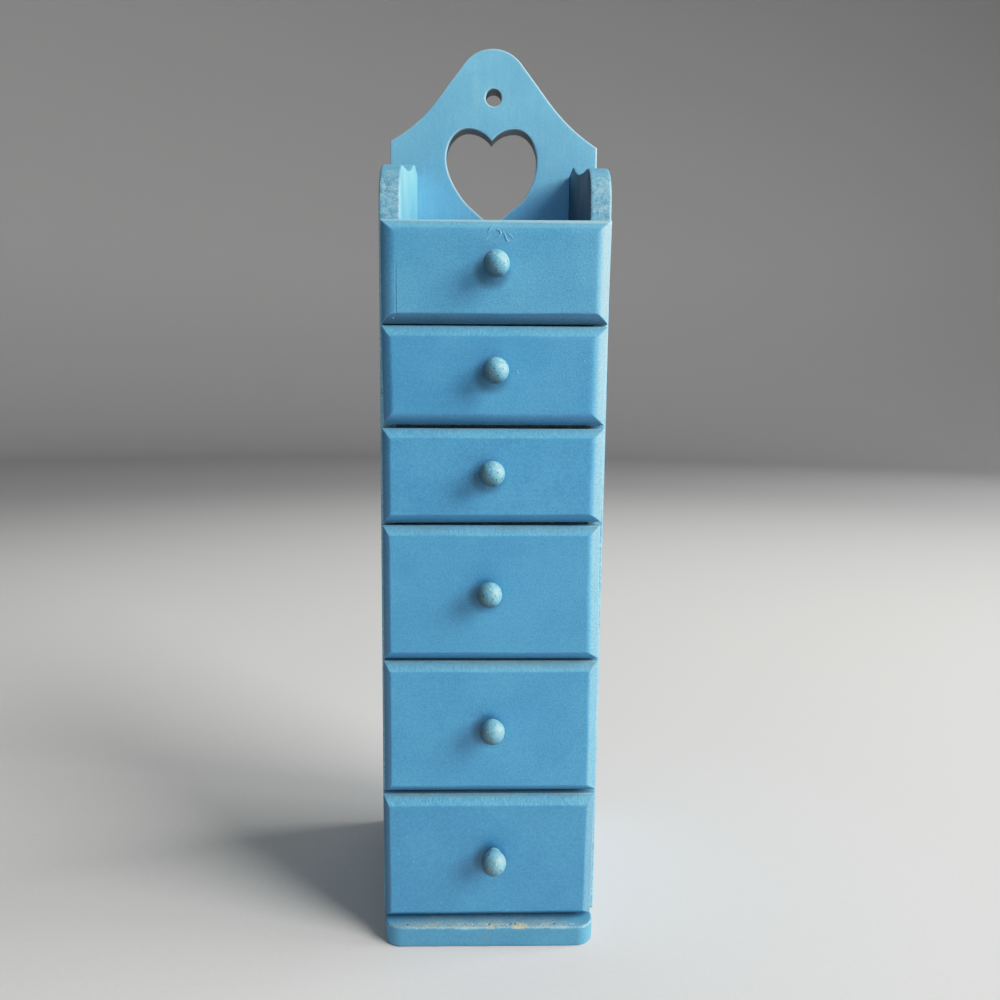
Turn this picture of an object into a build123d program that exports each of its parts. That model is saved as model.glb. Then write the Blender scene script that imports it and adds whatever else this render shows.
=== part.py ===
from build123d import *
import os
from math import cos, radians, sin

# Spice drawer cabinet: a tall narrow wooden case on a rounded base, with six drawers one above
# the other, an open tray on top and a back board that rises to a crest with a cut-out heart.
# It stands on a table or hangs from a nail. Millimetres; x to the right, y to the back, z up.
# The origin is the middle of the footprint, on the table.

# Boards
case_width = 114.3
side_thickness = 10.8
side_depth = 98.0
back_thickness = 10.0
back_overhang = 6.35        # back board past each side
base_thickness = 10.8
base_inset = 1.65           # base inside each outer face of the sides
base_lip = 4.8              # base in front of the drawer faces
base_corner_radius = 9.5
divider_thickness = 6.35
housing_depth = 3.0         # groove in the sides that holds a divider or the shelf

# Drawer fronts, lapping over the edges of the case
front_thickness = 10.8
front_inset = 1.85          # front inside each outer face of the sides
front_chamfer = 4.4
tall_front_height = 69.2
short_front_height = 48.0
front_gap = 1.6             # between one front and the next
base_reveal = 1.4           # between the lowest front and the base
tall_count = 3
short_count = 3

# Drawer boxes
box_board = 6.35            # sides and back
box_back_clearance = 4.0    # between the box and the back board
box_bottom = 3.0
bottom_lift = 3.2           # underside of the bottom above the box's lower edge
groove_depth = 2.6
box_side_clearance = 0.6
box_headroom = 1.5

# Knobs, each with a screw from inside the drawer
knob_diameter = 12.7
knob_length = 13.6
knob_neck_radius = 4.1
knob_neck_blend = 0.8
knob_rise = 2.0             # above the middle of its front
knob_drift = (2.0, 0.6, -1.5, -0.8, 0.5, 0.4)  # off the middle, lowest first
knob_pilot_depth = 8.0
knob_pilot_spare = 0.6      # pilot hole beyond the screw's point
knob_screw_radius = 1.4
knob_screw_head_radius = 3.0
knob_screw_head = 1.8

# Top tray and crest, measured up from the shelf
shelf_drop = 2.0            # shelf below the top edge of the highest front
side_nose_rise = 13.0       # where the front edge of a side starts to round over
side_nose_radius = 22.0
side_nose_slope = 9.0       # degrees, where the nose ends
side_crown_rise = 54.5
side_crown_flat = 16.0
side_crown_radius = 8.0
side_crown_slope = 31.0     # degrees, where the sweep meets the crown
shoulder_rise = 72.3
crest_rise = 127.5
crest_radius = 22.0
crest_slope = 52.0          # degrees
crest_slope_length = 27.0
hang_hole_radius = 4.8
hang_hole_rise = 99.4

# Heart, measured from its tip
heart_rise = 24.5           # tip above the shelf
heart_width = 55.6
heart_height = 56.7
heart_notch = 7.2
heart_lobe = 14.1           # top of a lobe from the middle
heart_shoulder = 17.7       # widest place below the top of the lobes
heart_tip_angle = 52.0      # degrees between each lower side and the vertical

# Nails and screws of the case, brads of the drawers
nail_radius = 0.9
nail_head_radius = 1.7
nail_head = 1.0
nail_length = 28.0
nail_rows = 6
nail_end_margin = 24.0
base_screw_radius = 1.75
base_screw_head_radius = 3.4
base_screw_head = 2.4
base_screw_length = 28.0
base_screw_sink = 0.6
base_screw_margin = 22.0
brad_radius = 0.6
brad_head_radius = 1.0
brad_head = 0.8
brad_length = 15.0
brad_share = 0.28           # of the box's height, from each edge to the brad
slot_width = 0.8
slot_depth = 0.7
point_length = 3.0          # of a nail's or a screw's point, in shank radii
point_sharpness = 5.0       # shank radius over the point's blunt end

# Fits and eased edges
fit_gap = 0.05              # round a board in its housing or groove
shank_gap = 0.1             # round a nail or a screw
side_ease = 1.5
board_ease = 0.8
front_ease = 0.5
box_ease = 0.4
ease_limit = 3.0            # a wall is at least this many times its eased radius
edge_margin = 1.0           # how near an edge lies to a face to count as on it

# Widths and depths that follow
back_width = case_width + 2 * back_overhang
base_width = case_width - 2 * base_inset
front_width = case_width - 2 * front_inset
box_depth = side_depth - box_back_clearance

# Places from back to front
overall_depth = knob_length + front_thickness + side_depth + back_thickness
back_y = overall_depth / 2
board_y = back_y - back_thickness
case_y = board_y - side_depth
face_y = case_y - front_thickness
base_front_y = face_y - base_lip

# Places from side to side
case_half = case_width / 2
pocket_half = case_half - side_thickness
box_half = pocket_half - box_side_clearance
box_inner_half = box_half - box_board

# Places from the table up; drawers are counted from the lowest here
front_heights = [tall_front_height] * tall_count + [short_front_height] * short_count
drawer_count = len(front_heights)
front_lows = []
next_low = base_thickness + base_reveal
for front_height in front_heights:
    front_lows.append(next_low)
    next_low += front_height + front_gap
front_highs = [low + height for low, height in zip(front_lows, front_heights)]
divider_lows = [high + front_gap / 2 - divider_thickness / 2 for high in front_highs[:-1]]
shelf_top = front_highs[-1] - shelf_drop
shelf_low = shelf_top - divider_thickness
floors = [base_thickness] + [low + divider_thickness for low in divider_lows]
ceilings = divider_lows + [shelf_low]
crest_top = shelf_top + crest_rise
shoulder_z = shelf_top + shoulder_rise


def block(low, high, grow=(0, 0, 0)):
    """A box between two corners, grown on both sides along each axis."""
    size = [b - a + 2 * g for a, b, g in zip(low, high, grow)]
    start = [a - g for a, g in zip(low, grow)]
    return Pos(*start) * Box(*size, align=(Align.MIN, Align.MIN, Align.MIN))


def eased(solid, edges, radius, wall):
    """The solid with these edges rounded, by no more than its wall allows."""
    return fillet(edges, min(radius, wall / ease_limit)) if edges else solid


def fastener(length, shank, head_radius, head, gap=0.0, sunk=False):
    """A nail or a screw along +z with its head's outer face at z=0; with a gap, its hole."""
    shank += gap
    head_radius += gap
    low = (Align.CENTER, Align.CENTER, Align.MIN)
    point = point_length * shank
    body = Cylinder(shank, length - point, align=low)
    body += Pos(Z=length - point) * Cone(shank, shank / point_sharpness, point, align=low)
    if sunk:
        return body + Cone(head_radius, shank, head, align=low)
    return body + Cylinder(head_radius, head, align=low)


def slotted(screw, head_radius):
    """The screw with a driver slot across its head."""
    low = (Align.CENTER, Align.CENTER, Align.MIN)
    return screw - Box(3 * head_radius, slot_width, slot_depth, align=low)


# Ways to lay a fastener, which is drawn along +z
to_back = Rotation(-90, 0, 0)       # +z to +y
to_front = Rotation(90, 0, 0)       # +z to -y
to_right = Rotation(0, 90, 0)       # +z to +x
to_left = Rotation(0, -90, 0)       # +z to -x


def heart_face(tip_z):
    """The heart in the x-z plane, drawn as its right half and mirrored."""
    half = heart_width / 2
    wide_z = tip_z + heart_height - heart_shoulder
    top_z = tip_z + heart_height
    angle = radians(heart_tip_angle)
    fall = wide_z - tip_z
    cheek = (fall * sin(angle) - half * cos(angle)) / (1 - cos(angle))
    cheek_end = (half - cheek * (1 - cos(angle)), wide_z - cheek * sin(angle))
    lobe = EllipticalCenterArc((heart_lobe, wide_z), half - heart_lobe, heart_shoulder,
                               start_angle=0, arc_size=90)
    notch = TangentArc((heart_lobe, top_z), (0, top_z - heart_notch), tangent=(-1, 0))
    lower = TangentArc((half, wide_z), cheek_end, tangent=(0, -1))
    side = Line(cheek_end, (0, tip_z))
    middle = Line((0, tip_z), (0, top_z - heart_notch))
    right = make_face([lobe, notch, middle, side, lower])
    return right + mirror(right, Plane.YZ)


def crest_face():
    """The back board's outline in the x-z plane, drawn as its right half and mirrored."""
    half = back_width / 2
    angle = radians(crest_slope)
    top = CenterArc((0, crest_top - crest_radius), crest_radius, 90, -crest_slope)
    start = top @ 1
    end = start + Vector(cos(angle), -sin(angle)) * crest_slope_length
    slope = Line(start, end)
    sweep = TangentArc(end, (half, shoulder_z), tangent=(cos(angle), -sin(angle)))
    outside = Line((half, shoulder_z), (half, 0))
    foot = Line((half, 0), (0, 0))
    middle = Line((0, 0), (0, crest_top))
    right = make_face([top, slope, sweep, outside, foot, middle])
    return right + mirror(right, Plane.YZ)


def upright(face, front, thickness):
    """A face of the x-z plane stood upright and made thick from the front backwards."""
    return Pos(Y=front + thickness) * (Plane.XZ * extrude(face, thickness))


def nail_places():
    """Where the back board is nailed to the sides, as x and z."""
    low = base_thickness + nail_end_margin
    high = shelf_top - nail_end_margin
    step = (high - low) / (nail_rows - 1)
    line = case_half - side_thickness / 2
    return [(sign * line, low + step * row) for sign in (-1, 1) for row in range(nail_rows)]


def base_screw_places():
    """Where the base is screwed up into the sides, as x and y."""
    line = case_half - side_thickness / 2
    rows = (case_y + base_screw_margin, board_y - base_screw_margin)
    return [(sign * line, y) for sign in (-1, 1) for y in rows]


def back_nails(gap=0.0):
    nail = to_front * fastener(nail_length, nail_radius, nail_head_radius, nail_head, gap)
    return [Pos(x, back_y, z) * nail for x, z in nail_places()]


def base_screws(gap=0.0):
    screw = fastener(base_screw_length, base_screw_radius, base_screw_head_radius,
                     base_screw_head, gap, sunk=True)
    if not gap:
        screw = slotted(screw, base_screw_head_radius)
    return [Pos(x, y, base_screw_sink) * screw for x, y in base_screw_places()]


def base_screw_mouths():
    """The wells under the sunk heads, down through the underside."""
    radius = base_screw_head_radius + shank_gap
    mouth = Cylinder(radius, base_screw_sink, align=(Align.CENTER, Align.CENTER, Align.MIN))
    return [Pos(x, y, 0) * mouth for x, y in base_screw_places()]


def back_board():
    board = upright(crest_face(), board_y, back_thickness)
    edges = board.edges().filter_by_position(Axis.Y, board_y, board_y)
    edges += board.edges().filter_by_position(Axis.Y, back_y, back_y)
    board = eased(board, edges, board_ease, back_thickness)
    board -= upright(heart_face(shelf_top + heart_rise), board_y, back_thickness)
    hole = Cylinder(hang_hole_radius, back_thickness)
    board -= Pos(0, (board_y + back_y) / 2, shelf_top + hang_hole_rise) * to_back * hole
    for hole in back_nails(shank_gap):
        board -= hole
    return board


def side_profile():
    """A side board's outline in the y-z plane, with y from the front edge."""
    nose_z = shelf_top + side_nose_rise
    crown_z = shelf_top + side_crown_rise
    rise = radians(side_crown_slope)
    front = Line((0, base_thickness), (0, nose_z))
    nose = JernArc((0, nose_z), (0, 1), side_nose_radius, side_nose_slope - 90)
    crown = CenterArc((side_depth - side_crown_flat, crown_z - side_crown_radius),
                      side_crown_radius, 90 + side_crown_slope, -side_crown_slope)
    sweep = Spline(nose @ 1, crown @ 0, tangents=[nose % 1, (cos(rise), sin(rise))])
    flat = Line(crown @ 1, (side_depth, crown_z))
    back = Line((side_depth, crown_z), (side_depth, base_thickness))
    foot = Line((side_depth, base_thickness), (0, base_thickness))
    return make_face([front, nose, sweep, crown, flat, back, foot])


def side_board(sign):
    """The left side board for sign -1, the right one for sign 1."""
    low_x = -case_half if sign < 0 else pocket_half
    board = Pos(low_x, case_y, 0) * (Plane.YZ * extrude(side_profile(), side_thickness))
    edges = board.edges().filter_by(
        lambda e: e.bounding_box().size.X < side_thickness / 2
        and e.center().Z > base_thickness + edge_margin
        and e.center().Y < board_y - edge_margin
    )
    board = eased(board, edges, side_ease, side_thickness)
    for low in divider_lows + [shelf_low]:
        board -= divider(low, (0, 0, fit_gap))
    for hole in back_nails(shank_gap) + base_screws(shank_gap):
        board -= hole
    return board


def divider(low, grow=(0, 0, 0)):
    """A divider or the top shelf, housed in both sides; with a grow, its housings."""
    half = pocket_half + housing_depth
    return block((-half, case_y, low), (half, board_y, low + divider_thickness), grow)


def base_board():
    half = base_width / 2
    board = block((-half, base_front_y, 0), (half, board_y, base_thickness))
    corners = board.edges().filter_by(Axis.Z).sort_by(Axis.Y)[:2]
    board = fillet(corners, base_corner_radius)
    rims = board.edges().filter_by(lambda e: e.center().Y < board_y - edge_margin
                                   and abs(e.center().Z - base_thickness / 2) > edge_margin)
    board = eased(board, rims, board_ease, base_thickness)
    for hole in base_screws(shank_gap) + base_screw_mouths():
        board -= hole
    return board


def knob_place(index):
    """The middle of a drawer's knob, as x and z."""
    middle = (front_lows[index] + front_highs[index]) / 2
    return knob_drift[index % len(knob_drift)], middle + knob_rise


def knob_screw(index, gap=0.0):
    """The screw through a front into its knob, its head against the front's inner face."""
    x, z = knob_place(index)
    length = knob_screw_head + front_thickness + knob_pilot_depth - knob_pilot_spare
    screw = fastener(length, knob_screw_radius, knob_screw_head_radius, knob_screw_head, gap)
    if not gap:
        screw = slotted(screw, knob_screw_head_radius)
    return Pos(x, case_y + knob_screw_head, z) * to_front * screw


def knob(index):
    """A turned ball on a short neck, drilled for its screw."""
    low = (Align.CENTER, Align.CENTER, Align.MIN)
    radius = knob_diameter / 2
    middle = knob_length - radius
    turned = Cylinder(knob_neck_radius, middle, align=low) + Pos(Z=middle) * Sphere(radius)
    meeting = turned.edges().filter_by(GeomType.CIRCLE).sort_by(Axis.Z)[1]
    turned = fillet(meeting, knob_neck_blend)
    turned -= Cylinder(knob_screw_radius + shank_gap, knob_pilot_depth, align=low)
    x, z = knob_place(index)
    return Pos(x, face_y, z) * to_front * turned


def box_z(index):
    """The lower and upper edges of a drawer's box, which slides on what is below it."""
    return floors[index], ceilings[index] - box_headroom


def box_side(index, sign, grow=(0, 0, 0)):
    """A side of a drawer's box, let into the front; with a grow, its housing there."""
    low, high = box_z(index)
    inner, outer = sorted((sign * box_inner_half, sign * box_half))
    return block((inner, case_y - housing_depth, low), (outer, case_y + box_depth, high), grow)


def box_bottom_panel(index, grow=(0, 0, 0)):
    """The thin bottom, in grooves all round; with a grow, its grooves."""
    low = box_z(index)[0] + bottom_lift
    half = box_inner_half + groove_depth
    back = case_y + box_depth - box_board + groove_depth
    return block((-half, case_y - groove_depth, low), (half, back, low + box_bottom), grow)


def brads(index, gap=0.0):
    """The brads through the box's sides into the ends of its back."""
    low, high = box_z(index)
    y = case_y + box_depth - box_board / 2
    inset = brad_share * (high - low)
    brad = fastener(brad_length, brad_radius, brad_head_radius, brad_head, gap)
    placed = []
    for z in (low + inset, high - inset):
        placed.append(Pos(-box_half, y, z) * to_right * brad)
        placed.append(Pos(box_half, y, z) * to_left * brad)
    return placed


def drawer_front(index):
    half = front_width / 2
    board = block((-half, face_y, front_lows[index]), (half, case_y, front_highs[index]))
    board = chamfer(board.faces().sort_by(Axis.Y)[0].edges(), front_chamfer)
    show = board.edges().filter_by(lambda e: e.center().Y < case_y - edge_margin)
    board = eased(board, show, front_ease, front_thickness - front_chamfer)
    for sign in (-1, 1):
        board -= box_side(index, sign, (fit_gap, 0, fit_gap))
    board -= box_bottom_panel(index, (0, 0, fit_gap))
    return board - knob_screw(index, shank_gap)


def drawer_side(index, sign):
    board = box_side(index, sign)
    top = board.edges().filter_by(Axis.Y).sort_by(Axis.Z)[-2:]
    board = eased(board, top, box_ease, box_board)
    board -= box_bottom_panel(index, (0, 0, fit_gap))
    for hole in brads(index, shank_gap):
        board -= hole
    return board


def drawer_back(index):
    low, high = box_z(index)
    back = case_y + box_depth
    board = block((-box_inner_half, back - box_board, low), (box_inner_half, back, high))
    top = board.edges().filter_by(Axis.X).sort_by(Axis.Z)[-2:]
    board = eased(board, top, box_ease, box_board)
    board -= box_bottom_panel(index, (0, 0, fit_gap))
    for hole in brads(index, shank_gap):
        board -= hole
    return board


nodes = {
    "back_board": back_board(),
    "side_left": side_board(-1),
    "side_right": side_board(1),
    "base_board": base_board(),
    "top_shelf": divider(shelf_low),
    "back_nails": Compound(children=back_nails()),
    "base_screws": Compound(children=base_screws()),
}
for index in range(drawer_count - 1):
    # Named from the top, so divider_1 is under drawer_1.
    nodes[f"divider_{drawer_count - 1 - index}"] = divider(divider_lows[index])
for index in range(drawer_count):
    name = f"drawer_{drawer_count - index}"
    nodes[f"{name}_front"] = drawer_front(index)
    nodes[f"{name}_side_left"] = drawer_side(index, -1)
    nodes[f"{name}_side_right"] = drawer_side(index, 1)
    nodes[f"{name}_back"] = drawer_back(index)
    nodes[f"{name}_bottom"] = box_bottom_panel(index)
    nodes[f"{name}_knob"] = knob(index)
    nodes[f"{name}_knob_screw"] = knob_screw(index)
    nodes[f"{name}_brads"] = Compound(children=brads(index))

os.makedirs("parts", exist_ok=True)
for name, shape in nodes.items():
    export_step(shape, f"parts/{name}.step")
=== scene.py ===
from math import ceil, cos, exp, hypot, pi, radians, sin, tan

import bmesh
import bpy
from mathutils import Matrix, Vector, noise
from mathutils.geometry import tessellate_polygon


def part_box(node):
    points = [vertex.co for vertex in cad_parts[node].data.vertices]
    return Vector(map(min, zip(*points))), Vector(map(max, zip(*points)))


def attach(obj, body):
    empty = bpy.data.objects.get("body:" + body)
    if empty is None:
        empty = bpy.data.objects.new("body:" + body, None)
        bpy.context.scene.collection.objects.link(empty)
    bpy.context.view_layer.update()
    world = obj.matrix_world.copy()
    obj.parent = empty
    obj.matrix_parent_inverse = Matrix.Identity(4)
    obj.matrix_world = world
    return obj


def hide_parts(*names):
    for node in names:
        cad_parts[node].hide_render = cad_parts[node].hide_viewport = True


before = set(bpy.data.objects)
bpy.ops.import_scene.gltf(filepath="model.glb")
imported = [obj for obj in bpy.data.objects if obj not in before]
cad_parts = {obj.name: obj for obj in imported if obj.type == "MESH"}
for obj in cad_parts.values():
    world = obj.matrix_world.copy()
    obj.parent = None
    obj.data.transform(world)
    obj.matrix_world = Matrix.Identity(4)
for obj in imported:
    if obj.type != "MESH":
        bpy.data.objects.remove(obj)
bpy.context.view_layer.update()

# Lengths in this script are millimetres, in the model's frame, and meshes are made in metres.
MM = 0.001
scene = bpy.context.scene


def box_mm(node):
    """A CAD node's lowest and highest corners at rest."""
    low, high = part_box(node)
    return Vector(low) / MM, Vector(high) / MM


SHELF_TOP = box_mm("top_shelf")[1].z
CASE_Y = box_mm("top_shelf")[0].y           # front edges of the case
BOARD_Y = box_mm("back_board")[0].y         # front face of the back board
BASE_TOP = box_mm("base_board")[1].z
BASE_FRONT = box_mm("base_board")[0].y
FRONT_LEFT = box_mm("drawer_1_front")[0].x
INNER_X = box_mm("side_right")[0].x         # inner faces of the sides
OUTER_X = box_mm("side_right")[1].x

def add_object(name, data):
    thing = bpy.data.objects.new(name, data)
    scene.collection.objects.link(thing)
    return thing


# ---- camera
CAMERA_PLACE = Vector((-5.5, -423.0, 280.7)) * MM
CAMERA_PITCH = radians(6.73)    # looking down
CAMERA_YAW = radians(1.39)      # turned to the right
CAMERA_ROLL = radians(0.61)
CAMERA_LENS = 27.0              # on a 36 mm sensor


def add_camera():
    data = bpy.data.cameras.new("camera")
    data.lens = CAMERA_LENS
    data.sensor_width = 36
    data.clip_start = 0.01
    camera = add_object("camera", data)
    turn = (Matrix.Rotation(-CAMERA_YAW, 4, "Z") @ Matrix.Rotation(pi / 2 - CAMERA_PITCH, 4, "X")
            @ Matrix.Rotation(CAMERA_ROLL, 4, "Z"))
    camera.matrix_world = Matrix.Translation(CAMERA_PLACE) @ turn
    scene.camera = camera


# ---- shader nodes
def drawn_out(along, share):
    """Scales that draw a pattern out along one axis."""
    return [share if axis == along else 1.0 for axis in range(3)]


def maths(operation):
    """A method of Wire that makes one math node."""
    return lambda wire, other=0.0: wire.shader.math(operation, wire, other)


class Wire:
    """A number, place or colour that a node gives. Work on it makes more nodes."""

    __add__, __sub__, __mul__, __pow__ = map(maths, ("ADD", "SUBTRACT", "MULTIPLY", "POWER"))
    __lt__, __gt__, __abs__ = map(maths, ("LESS_THAN", "GREATER_THAN", "ABSOLUTE"))
    either, pingpong = map(maths, ("MAXIMUM", "PINGPONG"))

    def __init__(self, shader, socket):
        self.shader, self.socket = shader, socket

    def __rsub__(self, other):
        return self.shader.math("SUBTRACT", other, self)

    def step(self, low, high, to_low=0.0, to_high=1.0):
        """A smooth step from low to high."""
        return self.shader.out("Result", "ShaderNodeMapRange", {
            "Value": self, "From Min": low, "From Max": high, "To Min": to_low,
            "To Max": to_high}, interpolation_type="SMOOTHSTEP")

    def near(self, middle, far, close, to_far=0.0, to_close=1.0):
        """A smooth step towards a middle value from both sides."""
        return abs(self - middle).step(far, close, to_far, to_close)

    def vector(self, operation, other=(0, 0, 0)):
        """A number from vector maths."""
        return self.shader.out("Value", "ShaderNodeVectorMath", {0: self, 1: other},
                               operation=operation)

    def split(self):
        return self.shader.outs("ShaderNodeSeparateXYZ", {0: self}, "XYZ")

    def drawn(self, along, share):
        """The place on a pattern drawn out along one axis."""
        return self.shader.out("Vector", "ShaderNodeMapping", {
            "Vector": self, "Scale": drawn_out(along, share)})

    def noise(self, scale, detail=2.0, rough=0.5, warp=0.0):
        return self.shader.out("Fac", "ShaderNodeTexNoise", {
            "Vector": self, "Scale": scale, "Detail": detail, "Roughness": rough,
            "Distortion": warp})

    def spots(self, scale, radius, share):
        """Round spots: one in some cells of the grid that scale gives, radius in cells."""
        distance, colour = self.shader.outs("ShaderNodeTexVoronoi", {
            "Vector": self, "Scale": scale}, ("Distance", "Color"))
        chosen, size = self.shader.outs("ShaderNodeSeparateColor", {"Color": colour},
                                        ("Red", "Green"))
        size = size * radius + radius * 0.4
        return (size - distance).step(0.0, radius * 0.5) * (chosen < share)

    def blend(self, colour, share, how="MIX"):
        return self.shader.mix(share, self, colour, how)

    def shade(self, factor):
        """The colour made lighter or darker by a factor."""
        return self.shader.out("Vector", "ShaderNodeVectorMath", {0: self, "Scale": factor},
                               operation="SCALE")

    def toned(self, mask, tone):
        """The colour shaded by a tone where the mask is 1."""
        return self.shade(1.0 - mask * (1 - tone))

    def varied(self, pattern, spread, low=0.3, high=0.7):
        """The colour made darker and lighter by up to a share, with a pattern."""
        return self.shade(pattern.step(low, high, 1 - spread, 1 + spread))

    def bump(self, depth, strength=0.9):
        """A relief of so many millimetres."""
        return self.shader.out("Normal", "ShaderNodeBump", {
            "Height": self, "Distance": depth * MM, "Strength": strength})


class Shader:
    """The nodes of a material or the world."""

    def __init__(self, name, kind="materials", surface="Principled BSDF"):
        self.block = getattr(bpy.data, kind).new(name)
        self.block.use_nodes = True
        self.tree = self.block.node_tree
        self.surface = self.tree.nodes[surface].inputs

    def feed(self, socket, value):
        if isinstance(value, Wire):
            self.tree.links.new(value.socket, socket)
        elif socket.type == "RGBA" and len(value) == 3:
            socket.default_value = (*value, 1)
        else:
            socket.default_value = value

    def outs(self, kind, inputs, names, **settings):
        """A new node's outputs of these names."""
        node = self.tree.nodes.new(kind)
        for key, value in settings.items():
            setattr(node, key, value)
        for key, value in dict(inputs).items():
            self.feed(node.inputs[key], value)
        return [Wire(self, node.outputs[name]) for name in names]

    def out(self, name, kind, inputs=(), **settings):
        return self.outs(kind, inputs, [name], **settings)[0]

    def math(self, operation, a, b):
        return self.out(0, "ShaderNodeMath", {0: a, 1: b}, operation=operation)

    def mix(self, share, a, b, how="MIX"):
        return self.out(2, "ShaderNodeMix", {0: share, 6: a, 7: b}, data_type="RGBA",
                        blend_type=how)

    def place(self, shift=(0, 0, 0), stretch=(1, 1, 1)):
        """The place on the object in millimetres, stretched and then shifted."""
        spot = self.out("Object", "ShaderNodeTexCoord")
        return self.out("Vector", "ShaderNodeMapping", {
            "Vector": spot, "Location": shift, "Scale": [factor / MM for factor in stretch]})

    def patch(self, seed, *steps):
        """The place shifted by its own steps for each seed, for a pattern of its own."""
        return self.place([seed * step for step in steps])

    def normal(self):
        return self.out("Normal", "ShaderNodeNewGeometry")

    def facing(self, axis, low, high):
        """How far the surface faces one way, from its own normal."""
        return self.normal().split()[axis].step(low, high)

    def edge(self):
        """The wear along the edges that a mesh carries."""
        return self.out("Fac", "ShaderNodeAttribute", attribute_name="edge")

    def bevel_edge(self, radius):
        """How near an edge of a CAD board is, from its rounded normal."""
        rounded = self.out("Normal", "ShaderNodeBevel", {"Radius": radius * MM}, samples=4)
        return (1.0 - rounded.vector("DOT_PRODUCT", self.normal())).step(0.0, 0.12)

    def finish(self, colour, rough, normal=None):
        self.feed(self.surface["Base Color"], colour)
        self.feed(self.surface["Roughness"], rough)
        if normal:
            self.feed(self.surface["Normal"], normal)
        return self.block


# ---- materials
PAINT_DEEP = (0.084, 0.368, 0.640)
PAINT_LIGHT = (0.102, 0.405, 0.680)
PAINT_PALE = (0.42, 0.70, 0.80)      # rubbed thin along the edges
PAINT_SCRATCH_SHEEN = (0.22, 0.62, 0.90)    # fine scratches in the chamfers, and a painted highlight on the upper ones
PAINT_SPECK = (0.34, 0.62, 0.74)
PAINT_DARK = (0.035, 0.140, 0.240)   # pinholes and dirt in the paint, and painted shade in the crack
DUST = (0.19, 0.31, 0.31)
END_GRAIN_DIRT = (0.13, 0.25, 0.27)
WOOD_LIGHT = (0.70, 0.49, 0.27)
WOOD_DARK = (0.47, 0.27, 0.115)
WOOD_CHIP = (0.66, 0.44, 0.20)
# Drawer fronts, by drawer where they differ; the top one is tinted paler and the lowest is painted
# darker, as painted shade.
FRONT_TINT, TOP_FRONT_TINT, LOWEST_FRONT_SHADE = (0.75, 0.86, 0.96), (0.99, 0.95, 0.99), 0.91
# The right chamfers are painted darker as painted shade, by drawer where they differ.
RIGHT_CHAMFER_SHADE, RIGHT_CHAMFER_SHADES = 0.92, {1: 0.85, 5: 0.85, 6: 0.66}
KNOB_SHADOW_SHIFT = Vector((2.0, 0.0, 2.3))    # how far left of and below each knob its painted shadow lies
# Knobs; their upper right is painted lit and their lower left painted in shade.
KNOB_TEAL, KNOB_SPECK, KNOB_CHIP = (0.125, 0.38, 0.46), (0.46, 0.72, 0.78), (0.60, 0.74, 0.75)
KNOB_GREY, KNOB_DIRT = (0.28, 0.40, 0.38), (0.035, 0.11, 0.13)
KNOB_LIT_SIDE = (0.62, -0.35, 0.70)
# The base: three kinds of dust on its top as limits in the grain, shares there and a colour; a
# golden patch with a chip beside it; and a filled spot.
BASE_DUST = ((0.40, 0.60, 0.10, 0.95, (0.33, 0.47, 0.42)), (0.49, 0.58, 0.0, 0.9, (0.74, 0.76, 0.54)),
             (0.42, 0.32, 0.0, 0.6, (0.06, 0.16, 0.20)))
GOLD, GOLD_X, CHIP_X = (0.94, 0.74, 0.25), 16.5, 1.0
FILLER, FILLED_X, FILLED_Z = (0.19, 0.31, 0.29), -1.5, 5.6


def wood_colour(spot, along):
    """Pine: warm bands of growth rings drawn out along the grain; also late wood and fibre."""
    slow = spot.drawn(along, 0.055).noise(0.16, 3, 0.55, 0.6)
    late = (slow * 9.0).pingpong(1.0).step(0.45, 0.95)
    fibre = spot.drawn(along, 0.03).noise(2.4, 3, 0.6)
    colour = spot.shader.mix(late * 0.65, WOOD_LIGHT, WOOD_DARK)
    return colour.shade(fibre.step(0.25, 0.75, 0.84, 1.12)), late, fibre


def bare_wood(name, along, seed):
    """Unpainted pine, its grain along axis 0, 1 or 2."""
    shader = Shader(name)
    spot = shader.patch(seed, 37.1, 11.3, 23.9)
    colour, late, fibre = wood_colour(spot, along)
    colour = colour.shade(spot.noise(0.04, 3).step(0.3, 0.7, 0.82, 1.08))
    colour = colour.blend(WOOD_DARK, spot.spots(0.8, 0.16, 0.3) * 0.5)
    return shader.finish(colour, fibre.step(0.2, 0.8, 0.58, 0.78),
                         (late * 0.5 + fibre).bump(0.06, 0.8))


def paint_coat(spot, along, coarse=1.0, tone=1.0, pale_share=0.0, streaks=0.02):
    """Brushed paint over wood: its colour, roughness and relief.

    streaks is how strongly the brush strokes and the grain along the board show through."""
    broad = spot.noise(0.035, 3, 0.55)
    brush = spot.drawn(along, 0.05).noise(0.9, 3, 0.6)
    peel = spot.noise(1.15, 2, 0.55)
    grit = spot.noise(2.6, 2, 0.6)
    pale = spot.spots(0.22, 0.075, 0.55)
    pits = spot.shader.place((71, 13, 47)).spots(0.30, 0.075, 0.45)
    colour = spot.shader.mix(broad.step(0.32, 0.68), PAINT_DEEP, PAINT_LIGHT)
    # a share of pale paint, which on the back board stands for a painted sheen
    if pale_share:
        colour = colour.blend(PAINT_PALE, pale_share)
    colour = colour.shade(brush.step(0.25, 0.75, (1 - streaks) * tone, (1 + streaks) * tone))
    colour = colour.varied(peel, 0.07 * coarse).varied(grit, 0.09 * coarse)
    colour = colour.blend(PAINT_SPECK, pale * 0.55).blend(PAINT_DARK, pits * 0.5)
    relief = peel * (0.9 * coarse) + grit * (0.35 * coarse) + brush * (10 * streaks)
    return (colour, (broad + peel * 0.5).step(0.5, 1.0, 0.40, 0.56),
            relief + pale * 0.5 - pits * 0.7)


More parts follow.
